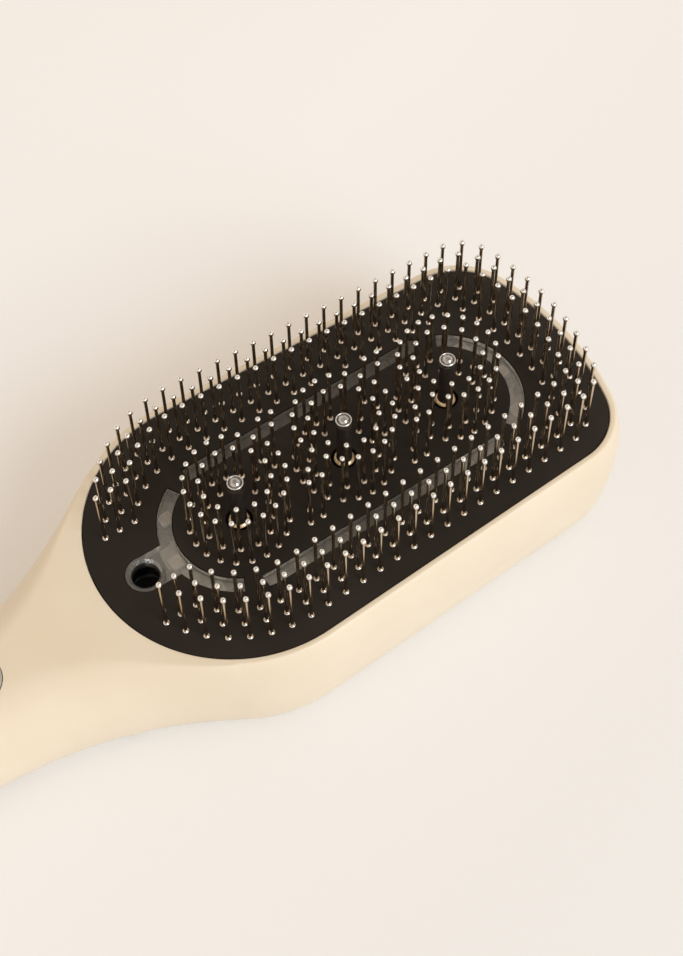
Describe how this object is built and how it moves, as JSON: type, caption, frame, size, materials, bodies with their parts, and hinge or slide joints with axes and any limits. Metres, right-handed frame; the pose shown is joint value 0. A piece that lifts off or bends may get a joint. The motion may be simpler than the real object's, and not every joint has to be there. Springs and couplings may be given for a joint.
{
  "type": "led hair growth brush",
  "caption": "Hand-held scalp brush: moulded paddle body, dark pin plate with ball-tipped metal pins, roller nozzles fed from a tank, ring of light windows.",
  "frame": {"origin": "under the middle of the overall length, on the plane that the back rests on", "axes": "+X along the handle towards the far end of the head, +Z out of the pin plate, +Y across the brush"},
  "size_m": [0.245, 0.071, 0.0475],
  "materials": {
    "shell": "satin moulded plastic",
    "plate": "fine matt moulded plastic",
    "pin_metal": "polished",
    "clear": "clear moulded plastic, polished",
    "tank": "clear moulded plastic",
    "seal": "soft matt",
    "board": "solder-masked laminate",
    "chip": "gloss",
    "chip_black": "matt moulded plastic",
    "ribbon": "polyimide film",
    "post_black": "satin moulded plastic",
    "brass": "turned",
    "steel": "polished",
    "screw": "plated",
    "can": "drawn can",
    "cell": "shrink sleeve",
    "weight": "sintered",
    "button": "satin moulded plastic"
  },
  "bodies": {
    "brush": {"front_housing": "shell", "rear_housing": "shell", "housing_screws": "screw", "pin_plate": "plate", "pins_left_rows": "pin_metal", "pins_right_rows": "pin_metal", "pins_far_end": "pin_metal", "pins_near_ring": "pin_metal", "pins_middle_ring": "pin_metal", "pins_far_ring": "pin_metal", "pins_bridges": "pin_metal", "light_guide": "clear", "led_board": "board", "led_chips": "chip", "led_ribbon": "ribbon", "serum_tank": "tank", "tank_gasket": "seal", "tank_lid": "tank", "button_bezel": "steel", "tact_switch": "can", "main_board": "board", "board_parts": "chip_black", "board_screws": "screw", "battery_cell": "cell", "charge_socket": "can", "motor_can": "can", "near_post": "post_black", "near_bush": "brass", "near_nozzle_ring": "steel", "near_spring": "steel", "middle_post": "post_black", "middle_bush": "brass", "middle_nozzle_ring": "steel", "middle_spring": "steel", "far_post": "post_black", "far_bush": "brass", "far_nozzle_ring": "steel", "far_spring": "steel"},
    "near_valve": {"near_valve": "steel"},
    "near_ball": {"near_ball": "steel"},
    "middle_valve": {"middle_valve": "steel"},
    "middle_ball": {"middle_ball": "steel"},
    "far_valve": {"far_valve": "steel"},
    "far_ball": {"far_ball": "steel"},
    "button": {"power_button": "button", "switch_plunger": "chip_black"},
    "rotor": {"motor_rotor": "weight"}
  },
  "joints": [
    {"name": "near_valve_slide", "type": "slide", "parent": "brush", "child": "near_valve", "axis": [0, 0, -1], "range_m": [0, 0.0004], "stiffness_N_per_m": 150, "springref_m": -0.0002, "deforming": ["near_spring"]},
    {"name": "near_ball_roll", "type": "hinge", "parent": "near_valve", "child": "near_ball", "pos_m": [0.0337, 0, 0.04488], "axis": [0, 1, 0], "continuous": true},
    {"name": "middle_valve_slide", "type": "slide", "parent": "brush", "child": "middle_valve", "axis": [0, 0, -1], "range_m": [0, 0.0004], "stiffness_N_per_m": 150, "springref_m": -0.0002, "deforming": ["middle_spring"]},
    {"name": "middle_ball_roll", "type": "hinge", "parent": "middle_valve", "child": "middle_ball", "pos_m": [0.0607, 0, 0.04488], "axis": [0, 1, 0], "continuous": true},
    {"name": "far_valve_slide", "type": "slide", "parent": "brush", "child": "far_valve", "axis": [0, 0, -1], "range_m": [0, 0.0004], "stiffness_N_per_m": 150, "springref_m": -0.0002, "deforming": ["far_spring"]},
    {"name": "far_ball_roll", "type": "hinge", "parent": "far_valve", "child": "far_ball", "pos_m": [0.0877, 0, 0.04488], "axis": [0, 1, 0], "continuous": true},
    {"name": "power_button_press", "type": "slide", "parent": "brush", "child": "button", "axis": [0.1659, 0, -0.9861], "range_m": [0, 0.0005], "stiffness_N_per_m": 800, "springref_m": -0.0002},
    {"name": "motor_spin", "type": "hinge", "parent": "brush", "child": "rotor", "pos_m": [0.0607, 0, 0.0062], "axis": [1, 0, 0], "continuous": true}
  ]
}
